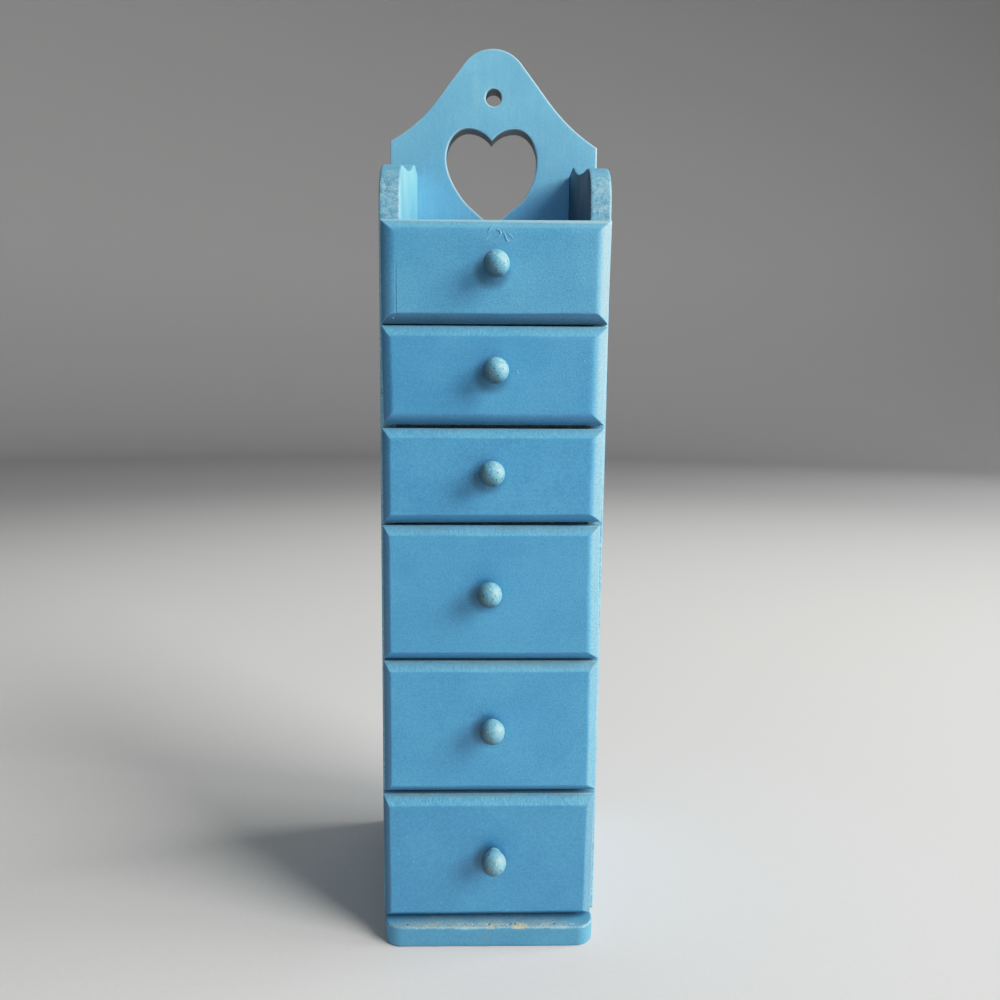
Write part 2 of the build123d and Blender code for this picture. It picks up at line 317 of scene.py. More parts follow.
def worn(spot, colour, rough, edge, amount=1.0, bare=0.5):
    """Paint rubbed pale along the edges, and through to the wood in places."""
    mask = (edge * 0.75 + spot.noise(0.09, 3, 0.6) * (0.55 * amount)
            + spot.noise(0.9, 3, 0.65) * 0.45)
    pale = mask.step(1.02, 1.22)
    colour = colour.blend(PAINT_PALE, pale * 0.62).blend(WOOD_CHIP, mask.step(1.30, 1.36) * bare)
    return colour, rough + pale * 0.12


def shaded_below(colour, tone):
    """Paint made darker where the surface faces down, as painted shade."""
    return colour.toned(colour.shader.facing(2, -0.2, -0.65), tone)


def front_paint(number, low, high, knob):
    """A drawer front: a scratched, dusty top chamfer with a painted highlight, a lower one
    painted darker as painted shade, bare wood at the back.
    """
    shader = Shader(f"paint_front_{number}")
    spot = shader.patch(number, 53.7, 17.1, 29.3)
    x, y, z = shader.place().split()
    upward, downward = shader.facing(2, 0.35, 0.6), shader.facing(2, -0.35, -0.6)
    rightward, leftward = shader.facing(0, 0.35, 0.6), shader.facing(0, -0.30, -0.55)
    top_front, lowest_front = number == 1, number == len(CHAMFERS)
    # the lowest front painted darker, as painted shade
    colour, rough, relief = paint_coat(spot, 0, 1.4, LOWEST_FRONT_SHADE if lowest_front else 1.0)
    colour = colour.blend(TOP_FRONT_TINT if top_front else FRONT_TINT, 1.0, "MULTIPLY")
    # fine scratches up and down the upper chamfer, which is also painted lighter as a painted highlight
    marks = shader.place((3, 5, number), (1.0, 0.2, 0.2)).noise(1.9, 3, 0.7)
    grain = spot.noise(1.9, 4, 0.75)
    scratch_sheen = (marks * 0.5 + grain * 0.5).step(0.42, 0.62, 0.12, 0.85)
    colour = colour.blend(PAINT_SCRATCH_SHEEN, upward * scratch_sheen)
    colour = colour.blend(PAINT_SPECK, rightward * grain.step(0.46, 0.60, 0.0, 0.7))
    # grey dust that settles under the drawer above, more on the lower ones
    lint = (upward * z.step(high - 3.4, high - 0.8) * grain.step(0.34, 0.6, 0.25, 1.0)
            * spot.noise(0.06, 2).step(0.3, 0.6, 0.35, 1.0))
    colour = colour.blend(DUST, lint * min(0.9, 0.05 + 0.15 * number))
    colour, rough = worn(spot, colour, rough, shader.edge(), 0.9, 0.35)
    if top_front:
        # its top edge is rubbed pale by hands that reach into the tray
        rubbed = z.step(high - 1.1, high - 0.3) * y.step(CASE_Y - 2.0, CASE_Y - 3.5)
        colour = colour.blend(PAINT_PALE, rubbed * grain.step(0.3, 0.6, 0.35, 0.9))
    # painted shadow round the knob's foot, darkest left of and below it
    away = shader.place().vector("DISTANCE", knob - KNOB_SHADOW_SHIFT)
    colour = colour.shade(away.step(5.5, 10.5, 0.50, 1.0))
    # painted shade on the lower and left chamfers, darkest at their outer edges
    colour = shaded_below(colour, 0.50 if top_front else 0.60 + 0.04 * number)
    colour = colour.shade(1.0 - downward * z.step(low + 3.6, low, 0.0, 0.45))
    colour = colour.shade(1.0 - leftward * x.step(FRONT_LEFT + 4.0, FRONT_LEFT, 0.08, 0.48))
    # the right chamfers painted darker, as painted shade
    colour = colour.toned(rightward, RIGHT_CHAMFER_SHADES.get(number, RIGHT_CHAMFER_SHADE))
    if top_front:
        # the hairline crack is painted dark inside, as painted shade
        crack = (x.near(CRACK_X, 0.26, 0.10) * z.step(CRACK_HIGH, CRACK_HIGH - 4)
                 * z.step(CRACK_LOW, CRACK_LOW + 1))
        colour = colour.blend(PAINT_DARK, crack * 0.75)
    # bare wood behind a wavy line of paint
    behind = (y + spot.noise(0.12, 3) * 2.4).step(CASE_Y + 0.55, CASE_Y + 0.95)
    colour = colour.blend(wood_colour(spot, 0)[0], behind)
    return shader.finish(colour, rough + behind * 0.15, (relief + upward * (marks * 0.9)).bump(0.085))


def knob_paint(number):
    """Thick dabbed paint on a turned knob, rough and greyish, greyer on the lower drawers and with less
    painted light there.
    """
    shader = Shader(f"paint_knob_{number}")
    spot = shader.patch(number, 31.7, 7.9, 19.3)
    dab = spot.noise(0.42, 3, 0.6, 0.4)
    grain = spot.noise(1.15, 4, 0.75)
    pale = spot.spots(0.55, 0.24, 0.40) * shader.facing(2, -0.2, 0.5)
    chipped = spot.noise(1.0, 4, 0.7).step(0.56, 0.62) * shader.facing(2, 0.1, 0.7)
    dark = shader.place((5, 41, 9 + number)).spots(0.50, 0.24, 0.50)
    colour = shader.mix(dab.step(0.34, 0.64, 0.10, 0.50 + 0.07 * number), PAINT_LIGHT, KNOB_TEAL)
    colour = colour.shade(grain.step(0.3, 0.72, 0.60, 1.38)).varied(spot.noise(3.2, 2, 0.6), 0.16)
    colour = colour.blend(KNOB_SPECK, pale * 0.6)
    colour = colour.blend(KNOB_CHIP, chipped * (0.85 if number < 4 else 0.35))
    colour = colour.blend(KNOB_GREY, 0.06 + 0.03 * number).blend(KNOB_DIRT, dark * 0.72)
    # painted light on the upper right and painted shade on the lower left, less light on lower drawers
    knob_lit = shader.normal().vector("DOT_PRODUCT", KNOB_LIT_SIDE)
    colour = colour.shade(knob_lit.step(-0.60, 0.95, 0.22, 1.42 - 0.05 * number))
    relief = grain * 0.9 + dab * 0.8 + pale - dark
    return shader.finish(colour, grain.step(0.3, 0.7, 0.28, 0.48), relief.bump(0.22))


def case_paint(name, along, seed, bays=False, edge_radius=None, coarse=1.0, pale_share=0.0, tone=1.0,
               wear=1.0, inner_painted_light=1.0, outer_painted_shade=1.0, cut_painted_shade=1.0, front_dirt_and_shade=1.0,
               streaks=0.03):
    """The painted boards of the case; in the drawer bays the paint stops at a wavy line.

    inner_painted_light scales a side's face towards the tray, above 1 as painted light and below 1
    as painted shade; outer_painted_shade darkens its outer face and cut_painted_shade the walls of
    the heart and hole, as painted shade; front_dirt_and_shade darkens the edges that face forward,
    as dirt and painted shade."""
    shader = Shader(name)
    spot = shader.patch(seed, 41.3, 19.7, 13.1)
    x, y, z = shader.place().split()
    colour, rough, relief = paint_coat(spot, along, coarse, tone, pale_share, streaks)
    # rubbed lines and stains that show best on the large outer faces
    rubbed = shader.place((13, 29, 7), drawn_out(along, 0.09)).noise(0.24, 4, 0.7)
    colour = colour.blend(PAINT_PALE, rubbed.step(0.56, 0.74, 0.0, 7 * streaks))
    stain = shader.place((31, 3, 17)).noise(0.018, 3, 0.6, 0.5)
    colour = colour.shade(stain.step(0.35, 0.65, 1 - 2.4 * streaks, 1 + streaks))
    # the crest is painted lighter than the boards lower down, as painted light
    colour = colour.shade(z.step(SHELF_TOP + 20.0, SHELF_TOP + 95.0, 0.93, 1.06))
    edge = shader.bevel_edge(edge_radius) if edge_radius else shader.edge() * wear
    colour, rough = worn(spot, colour, rough, edge, 1.0, 0.45)
    # painted shade where the boards face down
    colour = shaded_below(colour, 0.30)
    # painted light and shade on a side's face towards the tray, and painted shade on its outer face
    if inner_painted_light != 1:
        inner = (z > SHELF_TOP) * abs(x).step(INNER_X + 0.9, INNER_X + 0.2)
        outer = abs(x).step(OUTER_X - 0.25, OUTER_X - 0.05)
        colour = colour.toned(inner, inner_painted_light).toned(outer, outer_painted_shade)
    # painted shade on the walls of the heart and hole
    if cut_painted_shade != 1:
        heart_z = SHELF_TOP + HEART_RISE + HEART_HEIGHT / 2
        heart = (abs(x) < HEART_WIDTH / 2 + 3) * (abs(z - heart_z) < HEART_HEIGHT / 2 + 2)
        hole_place = (0, BOARD_Y + 5, SHELF_TOP + HOLE_RISE)
        hole = shader.place().vector("DISTANCE", hole_place) < HOLE_RADIUS + 4
        across = abs(shader.normal().split()[1]).step(0.45, 0.1)
        wall = across * heart.either(hole) * y.step(BOARD_Y + 0.5, BOARD_Y + 1.4)
        colour = colour.toned(wall, cut_painted_shade)
    # rough, dirty end grain on the edges that face forward
    front_edge = shader.facing(1, -0.6, -0.9) * (y < CASE_Y + 12.0)
    grain = spot.noise(1.3, 4, 0.75)
    blotch = spot.noise(0.42, 4, 0.7)
    mixed = grain * 0.5 + blotch * 0.5
    beige = spot.spots(0.55, 0.16, 0.30) * blotch.step(0.5, 0.6) * 0.7
    colour = colour.blend(PAINT_PALE, front_edge * mixed.step(0.40, 0.56, 0.86, 0.0))
    colour = colour.blend(END_GRAIN_DIRT, front_edge * mixed.step(0.54, 0.62, 0.0, 0.62))
    # edges that face forward darkened further, as dirt and painted shade in the gaps
    colour = colour.blend(WOOD_CHIP, front_edge * beige).toned(front_edge, front_dirt_and_shade)
    relief = relief + front_edge * (grain * 1.6)
    if bays:
        line = y + spot.noise(0.10, 3) * 9.0
        inside = (line.step(CASE_Y + 7.0, CASE_Y + 8.0) * (z < SHELF_TOP - 3.0)
                  * (z > BASE_TOP - 0.5) * (abs(x) < INNER_X + 0.25) * (y < BOARD_Y + 0.2))
        colour = colour.blend(wood_colour(spot, along)[0], inside)
        rough = rough + inside * 0.15
    return shader.finish(colour, rough, relief.bump(0.08))


def base_paint():
    """The base: a rubbed, dusty band on top and a worn golden patch at its front edge."""
    shader = Shader("paint_base")
    spot = shader.place((411, 97, 31))
    x, y, z = shader.place().split()
    colour, rough, relief = paint_coat(spot, 0, 1.15, 0.78)
    up = shader.facing(2, 0.5, 0.85)
    grain = spot.noise(2.1, 4, 0.8)
    band = (up * x.near(-2.0, 56.0, 28.0, 0.15, 1.0)
            * y.step(BASE_FRONT + 7.5, BASE_FRONT + 2.0, 0.25, 1.0)
            * spot.noise(0.07, 3).step(0.3, 0.6, 0.5, 1.0))
    for low, high, least, most, dust in BASE_DUST:
        colour = colour.blend(dust, band * grain.step(low, high, least, most))
    edge = shader.edge() * z.step(3.0, BASE_TOP - 3.0) * 0.8
    colour, rough = worn(spot, colour, rough, edge, 0.95)
    # painted shade where the base faces down
    colour = shaded_below(colour, 0.6)
    # the golden patch right of the middle with the chip beside it, and the filled spot
    gold = x.near(GOLD_X, 5.0, 1.5) + x.near(CHIP_X, 3.0, 0.5, 0.0, 0.6)
    gold = (gold * (z.step(BASE_TOP - 1.1, BASE_TOP - 0.4) * y.step(BASE_FRONT + 4.2, BASE_FRONT + 2.4))
            * grain.step(0.46, 0.54))
    colour = colour.blend(GOLD, gold)
    filled = ((x - FILLED_X) ** 2.0 + (z - FILLED_Z) ** 2.0).step(7.5, 2.0)
    filled = filled * y.step(BASE_FRONT + 0.9, BASE_FRONT + 0.4) * grain.step(0.3, 0.6, 0.10, 0.32)
    return shader.finish(colour.blend(FILLER, filled), rough, (relief + up * grain).bump(0.09))


def dry_paint(name, shift, scale, low, colours, rough):
    """Dried or knocked-off paint that stands by itself."""
    shader = Shader(name)
    grain = shader.place(shift).noise(scale, 3, 0.6)
    return shader.finish(shader.mix(grain.step(low, 0.7), *colours), grain.step(0.3, 0.7, *rough),
                         grain.bump(0.05, 0.8))


def steel(name, seed):
    """Dull zinc-plated steel with a little rust."""
    shader = Shader(name)
    spot = shader.patch(seed, 1, 3, 7)
    scratch = spot.noise(3.0, 3, 0.6)
    rust = spot.noise(0.7, 3, 0.6).step(0.58, 0.72, 0.0, 0.7)
    colour = shader.mix(scratch.step(0.3, 0.7), (0.40, 0.39, 0.37), (0.60, 0.59, 0.56))
    shader.feed(shader.surface["Metallic"], 0.85)
    return shader.finish(colour.blend((0.22, 0.09, 0.035), rust),
                         scratch.step(0.2, 0.8, 0.34, 0.58), scratch.bump(0.03, 0.6))


# ---- light and floor
# Lights as name, way to it from the cabinet, width and height in metres, and power.
LIGHTS = (("window", (0.75, -0.42, 0.50), (1.9, 2.4), 190.0),
          ("side_window", (0.97, 0.05, 0.25), (1.8, 1.6), 174.0))
LIGHT_DISTANCE = 4.0
LIGHT_COLOUR = (1.0, 0.99, 0.97)
CABINET_MIDDLE = Vector((0, 0, 0.25))
ROOM_LIGHT = Vector((0.88, 0.91, 0.93)) * 0.055
OVERHEAD_LIGHT = Vector((0.86, 0.90, 0.95)) * 0.36
OVERHEAD_WAY = (0.0, 0.6, 0.8)       # high up behind the cabinet, above the picture
# The picture's tone, as scene brightness and what it shows as: a soft shoulder.
TONE = ((0.0, 0.0), (0.2, 0.2), (0.4, 0.39), (0.6, 0.54), (0.8, 0.655), (1.0, 0.75),
        (1.3, 0.82), (1.6, 0.865), (2.0, 0.92))


def add_world():
    """A dim room, paler high up behind the cabinet."""
    shader = Shader("room", "worlds", "Background")
    way = shader.out("Generated", "ShaderNodeTexCoord")
    behind = way.vector("DOT_PRODUCT", OVERHEAD_WAY).step(0.55, 0.95)
    shader.feed(shader.surface["Color"], shader.mix(behind, ROOM_LIGHT, OVERHEAD_LIGHT))
    scene.world = shader.block


def add_light():
    """The windows, the room and the picture's tone."""
    for name, way, size, power in LIGHTS:
        data = bpy.data.lights.new(name, "AREA")
        data.shape = "RECTANGLE"
        data.size, data.size_y = size
        data.energy = power
        data.color = LIGHT_COLOUR
        light = add_object(name, data)
        light.location = CABINET_MIDDLE + Vector(way).normalized() * LIGHT_DISTANCE
        light.rotation_euler = (CABINET_MIDDLE - light.location).to_track_quat("-Z", "Y").to_euler()
    add_world()
    view = scene.view_settings
    view.view_transform = "Standard"
    view.use_curve_mapping = True
    brightest = TONE[-1][0]
    view.curve_mapping.white_level = (brightest,) * 3
    curve = view.curve_mapping.curves[3]
    curve.points[1].location = (1.0, TONE[-1][1])
    for value, shown in TONE[1:-1]:
        curve.points.new(value / brightest, shown)
    view.curve_mapping.update()


FLOOR_COLOUR = (0.80, 0.797, 0.775)
WALL_COLOUR = (0.42, 0.42, 0.425)
STAGE_FLAT, STAGE_REACH, STAGE_CURVE, STAGE_TOP = 1.0, 5.6, 1.4, 3.8    # metres
STAGE_SIDES, STAGE_STEPS = 96, 12
WALL_START = (450.0, 2600.0)     # where the floor's colour starts and ends its change, in mm


def add_stage():
    """A pale floor that sweeps up all round into a grey backdrop."""
    profile = [(STAGE_FLAT, 0.0)]
    for step in range(STAGE_STEPS + 1):
        angle = pi / 2 * step / STAGE_STEPS
        profile.append((STAGE_REACH - STAGE_CURVE * (1 - sin(angle)), STAGE_CURVE * (1 - cos(angle))))
    profile.append((STAGE_REACH, STAGE_TOP))
    points = [(reach * cos(angle), reach * sin(angle), z)
              for reach, z in profile for angle in turns(STAGE_SIDES)]
    faces = [tuple(range(STAGE_SIDES))]
    faces += [(a, d, c, b) for a, b, c, d in ring_faces(0, STAGE_SIDES, len(profile))]
    mesh = smooth_mesh("floor", points, faces)
    shader = Shader("floor")
    spot = shader.place()
    colour = shader.mix(spot.vector("LENGTH").step(*WALL_START), FLOOR_COLOUR, WALL_COLOUR)
    colour = colour.varied(spot.noise(0.35, 3, 0.6), 0.015)
    mesh.materials.append(shader.finish(colour, 0.7))
    add_object("floor", mesh)


# ---- mesh making
def turns(sides):
    """The angles of points all round a ring."""
    return [2 * pi * side / sides for side in range(sides)]


def ring_faces(first, count, rings):
    """The faces between rings of points that follow one another, from the first point."""
    return [(low + here, low + after, low + count + after, low + count + here)
            for low in range(first, first + (rings - 1) * count, count)
            for here, after in zip(range(count), [*range(1, count), 0])]


def flat_faces(points, loops):
    """Triangles that fill an outline with its holes, each given as places in the points."""
    flat = [index for loop in loops for index in loop]
    triangles = tessellate_polygon([[Vector(points[index]) for index in loop] for loop in loops])
    return [tuple(flat[corner] for corner in triangle) for triangle in triangles]


def smooth_mesh(name, points, faces):
    mesh = bpy.data.meshes.new(name)
    mesh.from_pydata(points, [], faces)
    mesh.polygons.foreach_set("use_smooth", [True] * len(mesh.polygons))
    return mesh


def add_piece(name, points, faces, body, nodes, material, edges=None, slot="painted_wood"):
    """A closed smooth mesh in the model's frame that rides on a body and stands for nodes."""
    mesh = smooth_mesh(name, [Vector(point) * MM for point in points], faces)
    if edges:
        mesh.attributes.new("edge", "FLOAT", "POINT").data.foreach_set("value", edges)
    shape = bmesh.new()
    shape.from_mesh(mesh)
    bmesh.ops.recalc_face_normals(shape, faces=shape.faces)
    shape.to_mesh(mesh)
    shape.free()
    mesh.materials.append(material)
    piece = add_object(name, mesh)
    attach(piece, body)
    if nodes:
        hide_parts(*nodes)


def wander(place, scale, seed):
    """Smooth unevenness from -1 to 1 with features of about the scale."""
    return noise.noise(Vector(place) / scale + Vector((seed * 7.31, seed * 3.17, seed * 5.77)))


def divided(corners, step):
    """A closed outline with its straight runs divided."""
    points = []
    for (u0, v0), (u1, v1) in zip(corners, corners[1:] + corners[:1]):
        parts = max(1, ceil(hypot(u1 - u0, v1 - v0) / step))
        points += [(u0 + (u1 - u0) * share, v0 + (v1 - v0) * share)
                   for share in [part / parts for part in range(parts)]]
    return points


def inward(points):
    """At each point of an outline, the way into the board, longer at a corner."""
    ways = []
    for before, here, after in zip(points[-1:] + points[:-1], points, points[1:] + points[:1]):
        first = Vector((before[1] - here[1], here[0] - before[0])).normalized()
        second = Vector((here[1] - after[1], after[0] - here[0])).normalized()
        middle = (first + second).normalized()
        ways.append(middle / max(0.45, middle.dot(first)))
    return ways


def corner_room(points, most):
    """How far each point of an outline can move inwards before it passes a corner's bisector."""
    count = len(points)
    room = [most] * count
    steps = [Vector(points[(here + 1) % count]) - Vector(points[here]) for here in range(count)]
    for corner in range(count):
        turn = steps[corner - 1].angle_signed(steps[corner]) * -1
        if turn < CORNER_TURN:
            continue
        for way in (1, -1):
            reach, here = 0.0, corner
            while reach / tan(turn / 2) < most:
                room[here] = min(room[here], reach / tan(turn / 2))
                reach += steps[here if way > 0 else here - 1].length
                here = (here + way) % count
    return room


EASE_STEPS = 4
EDGE_FADE = 2.6         # how far wear reaches from an edge into a face
CORNER_TURN = radians(20)
WAVE, RIPPLE, CHIP = 13.0, 2.6, 5.0      # lengths of a worn edge's waves, ripples and chips
LOW_LEVEL, HIGH_LEVEL = 3.0, 40.0        # where in their pattern a board's two edges lie


def rim(ease, thickness):
    """Rings over a board's edge as inset, height and wear, from its low face to its high one."""
    rings = [(ease + EDGE_FADE, 0.0, 0.0), (ease + 0.9, 0.0, 0.35), (ease, 0.0, 0.85)]
    for step in range(1, EASE_STEPS):
        angle = pi / 2 * step / EASE_STEPS
        rings.append((ease * (1 - sin(angle)), ease * (1 - cos(angle)), 1.0))
    rings += [(0.0, ease, 0.85), (0.0, ease + 0.9, 0.3)]
    upper = [(inset, thickness - height, wear) for inset, height, wear in reversed(rings)]
    return rings + upper


def board(name, body, node, material, outline, holes, place, thickness, ease,
          rough, chips, seed, step=1.6):
    """A board from its outline, anticlockwise, and its holes, clockwise, with worn edges.

    place turns u, v and the height through the board into a point of the model."""
    points, faces, edges, caps = [], [], [], ([], [])
    for loop in [outline] + holes:
        loop = divided(loop, step)
        ways = inward(loop)
        room = corner_room(loop, ease + EDGE_FADE)
        rings = rim(ease, thickness)
        first = len(points)
        for number, (inset, height, wear) in enumerate(rings):
            low_half = number < len(rings) / 2
            for (u, v), way, most in zip(loop, ways, room):
                spot = (u, v, LOW_LEVEL if low_half else HIGH_LEVEL)
                shift = rough * wander(spot, WAVE, seed) + 0.4 * rough * wander(spot, RIPPLE, seed + 9)
                shift = max(shift, -inset * 0.5) if inset else max(shift, 0.0)
                chip = chips * max(0.0, wander(spot, CHIP, seed + 20) - 0.28) * min(1.0, wear * 1.2)
                shift *= min(1.0, wear * 1.4)
                lift = 0.6 * chip if 0 < height < thickness else 0.0
                level = height + lift * (1 if low_half else -1)
                reach = inset
                if inset > ease:
                    reach = ease + max(0.04 * (inset - ease), min(inset, 0.9 * most) - ease)
                spread = way * (reach + shift + chip)
                points.append(place(u + spread.x, v + spread.y, level))
                edges.append(min(1.0, wear + 0.5 * chip))
        count = len(loop)
        faces += ring_faces(first, count, len(rings))
        for cap, low in zip(caps, (first, len(points) - count)):
            cap.append(range(low, low + count))
    for cap in caps:
        faces += flat_faces(points, cap)
    add_piece(name, points, faces, body, [node], material, edges)


def arc(centre, radius, start, sweep, steps):
    """Points of an arc, its start and sweep in degrees."""
    angles = [radians(start + sweep * step / steps) for step in range(steps + 1)]
    return [(centre[0] + radius * cos(a), centre[1] + radius * sin(a)) for a in angles]


def hermite(start, end, out, into, steps):
    """Points of a smooth curve from start towards end, with these directions there."""
    return [(2 * t**3 - 3 * t**2 + 1) * start + (t**3 - 2 * t**2 + t) * out
            + (3 * t**2 - 2 * t**3) * end + (t**3 - t**2) * into
            for t in [step / steps for step in range(steps)]]


# ---- side boards
NOSE_RISE, NOSE_RADIUS, NOSE_SWEEP = 13.0, 22.0, 81.0
CROWN_RISE, CROWN_FLAT, CROWN_RADIUS, CROWN_SLOPE = 54.5, 16.0, 8.0, 31.0
SIDE_EASE = 1.25


def side_outline(depth):
    """A side board in y and z, with y from its front edge; anticlockwise seen from the left."""
    nose_z = SHELF_TOP + NOSE_RISE
    crown_z = SHELF_TOP + CROWN_RISE
    nose = arc((NOSE_RADIUS, nose_z), NOSE_RADIUS, 180, -NOSE_SWEEP, 22)
    crown = arc((depth - CROWN_FLAT, crown_z - CROWN_RADIUS), CROWN_RADIUS,
                90 + CROWN_SLOPE, -CROWN_SLOPE, 8)
    start, end = Vector(nose[-1]), Vector(crown[0])
    reach = (end - start).length
    nose_way = Vector((sin(radians(NOSE_SWEEP)), cos(radians(NOSE_SWEEP)))) * reach
    crown_way = Vector((cos(radians(CROWN_SLOPE)), sin(radians(CROWN_SLOPE)))) * reach
    sweep = [tuple(point) for point in hermite(start, end, nose_way, crown_way, 24)[1:]]
    loop = [(0, BASE_TOP)] + nose + sweep + crown + [(depth, crown_z), (depth, BASE_TOP)]
    return loop[::-1]


def add_sides():
    for sign, node in ((-1, "side_left"), (1, "side_right")):
        low, high = box_mm(node)
        # the left side's tray face painted lighter as painted light, the right one's darker as painted
        # shade
        inner_painted_light, outer_painted_shade = (1.40, 0.95) if sign < 0 else (0.09, 0.64)
        material = case_paint(f"paint_{node}", 2, 3 + sign, bays=True, coarse=1.2, pale_share=0.12,
                              tone=1.04, wear=0.62, inner_painted_light=inner_painted_light, outer_painted_shade=outer_painted_shade,
                              streaks=0.055)
        board(node + "_board", "case", node, material, side_outline(high.y - low.y), [],
              lambda u, v, t, low=low: (low.x + t, low.y + u, v), high.x - low.x, SIDE_EASE,
              rough=0.2, chips=0.5, seed=11 + sign)


# ---- back board
SHOULDER_RISE, CREST_RISE, CREST_RADIUS = 72.3, 127.5, 22.0
CREST_SLOPE, CREST_SLOPE_LENGTH, CREST_STEPS = 52.0, 27.0, 16
HOLE_RISE, HOLE_RADIUS = 99.4, 4.8
HEART_RISE, HEART_WIDTH, HEART_HEIGHT, HEART_NOTCH = 24.5, 55.6, 56.7, 7.2
HEART_LOBE, HEART_SHOULDER, HEART_ANGLE = 14.1, 17.7, 52.0
HEART_SHIFT = -1.3          # the heart was sawn a little left of the middle
BACK_EASE = 0.9
NAIL_HEAD_PROUD = 0.06      # nail heads stand this far out of the back face


def crest_outline(half):
    """The back board in x and z, anticlockwise seen from the front."""
    angle = radians(CREST_SLOPE)
    centre = (0, SHELF_TOP + CREST_RISE - CREST_RADIUS)
    right = arc(centre, CREST_RADIUS, 90 - CREST_SLOPE, CREST_SLOPE, CREST_STEPS)
    end = Vector((right[0][0] + CREST_SLOPE_LENGTH * cos(angle),
                  right[0][1] - CREST_SLOPE_LENGTH * sin(angle)))
    shoulder = Vector((half, SHELF_TOP + SHOULDER_RISE))
    # an arc that leaves the slope along its own line and ends at the shoulder
    side = Vector((sin(angle), cos(angle)))
    chord = shoulder - end
    radius = chord.length_squared / (2 * chord.dot(side))
    middle = end + side * radius
    whole = (end - middle).angle_signed(shoulder - middle)
    sweep = []
    for number in range(CREST_STEPS + 1):
        turned = end - middle
        turned.rotate(Matrix.Rotation(-whole * (CREST_STEPS - number) / CREST_STEPS, 2))
        sweep.append(tuple(middle + turned))
    right_side = sweep + right
    left_side = [(-u, v) for u, v in reversed(right_side[:-1])]
    return [(-half, 0.0), (half, 0.0)] + right_side + left_side


def crest_out_of_true(point):
    """The crest leans a little to the left, and its left shoulder is higher."""
    u, v = point
    rise = (v - SHELF_TOP - SHOULDER_RISE) / (CREST_RISE - SHOULDER_RISE)
    if rise < -0.01:
        return point
    lean = -0.9 * min(1.0, rise * 1.6)
    level = max(0.0, 1 - 2.5 * rise)
    shift = (0.6, 1.2) if u < 0 else (-0.3, -0.7)
    return u + lean + shift[0] * level, v + shift[1] * level


def heart_outline():
    """The heart in x and z, clockwise seen from the front."""
    half = HEART_WIDTH / 2
    tip = SHELF_TOP + HEART_RISE
    wide, top = tip + HEART_HEIGHT - HEART_SHOULDER, tip + HEART_HEIGHT
    angle = radians(HEART_ANGLE)
    fall = wide - tip
    cheek = (fall * sin(angle) - half * cos(angle)) / (1 - cos(angle))
    lobe = [(HEART_LOBE + (half - HEART_LOBE) * cos(a), wide + HEART_SHOULDER * sin(a))
            for a in [pi / 2 * step / 18 for step in range(19)]]
    lower = arc((half - cheek, wide), cheek, 0, -HEART_ANGLE, 14)
    # from the lobe's top down to the notch, on the arc that leaves the top level
    radius = (HEART_LOBE**2 + HEART_NOTCH**2) / (2 * HEART_NOTCH)
    reach = 2 * (pi / 2 - Vector((HEART_NOTCH, HEART_LOBE)).angle(Vector((1, 0))))
    notch = [(HEART_LOBE - radius * sin(turn), top - radius * (1 - cos(turn)))
             for turn in [reach * step / 12 for step in range(1, 12)]]
    right = lower[::-1] + lobe[1:] + notch
    loop = [(0, tip)] + right + [(0, top - HEART_NOTCH)] + [(-u, v) for u, v in reversed(right)]
    return [heart_out_of_true(u, (v - tip) / HEART_HEIGHT, v) for u, v in loop][::-1]


def heart_out_of_true(u, share, v):
    """The heart was sawn by hand: a little left of the middle and fuller on the right."""
    lean, middle, reach = (1.7, 0.34, 0.22) if u < 0 else (0.5, 0.2, 0.2)
    return u + HEART_SHIFT + lean * exp(-((share - middle) / reach) ** 2), v


def add_back():
    low, high = box_mm("back_board")
    hole = arc((-0.3, SHELF_TOP + HOLE_RISE), HOLE_RADIUS, 0, -360, 40)[:-1]
    # the back board's pale share and tone of 1.19 paint a sheen and light onto it
    board("back_board_crest", "case", "back_board",
          case_paint("paint_back_board", 2, 7, bays=True, coarse=0.9, pale_share=0.17, tone=1.19,
                     cut_painted_shade=0.22),
          [crest_out_of_true(point) for point in crest_outline(high.x)],
          [heart_outline(), hole],
          lambda u, v, t: (u, low.y + t, v), high.y - low.y - NAIL_HEAD_PROUD, BACK_EASE,
          rough=0.08, chips=0.15, seed=5)


# ---- base board
BASE_CORNER = 9.5
BASE_EASE = 1.0


def add_base():
    low, high = box_mm("base_board")
    corner_y = low.y + BASE_CORNER
    outline = (arc((low.x + BASE_CORNER, corner_y), BASE_CORNER, 180, 90, 16)
               + arc((high.x - BASE_CORNER, corner_y), BASE_CORNER, 270, 90, 16)
               + [(high.x, high.y), (low.x, high.y)])
    board("base_board_slab", "case", "base_board", base_paint(), outline, [],
          lambda u, v, t: (u, v, low.z + t), high.z - low.z, BASE_EASE,
          step=0.8, rough=0.14, chips=0.9, seed=23)


# ---- drawer fronts
CHAMFER_DEPTH = 4.4
FRONT_SPACING = 1.3     # of the grid lines over the flat of a front
# Grid lines over a chamfer and its crease, in chamfer widths from the front's edge.
SHARES = (0.0, 0.04, 0.10, 0.2, 0.32, 0.46, 0.6, 0.72, 0.80, 0.87, 0.94, 1.0, 1.06, 1.13, 1.2,
          1.3, 1.45, 1.65)
# Widths of each front's chamfers: left, right, bottom, top; they were planed by hand.
CHAMFERS = {1: (4.3, 5.5, 4.5, 4.9), 2: (4.1, 5.5, 4.7, 5.6), 3: (3.9, 5.4, 4.4, 4.8),
            4: (3.8, 5.4, 4.4, 4.5), 5: (3.8, 5.0, 4.3, 4.4), 6: (3.5, 4.3, 4.3, 4.7)}
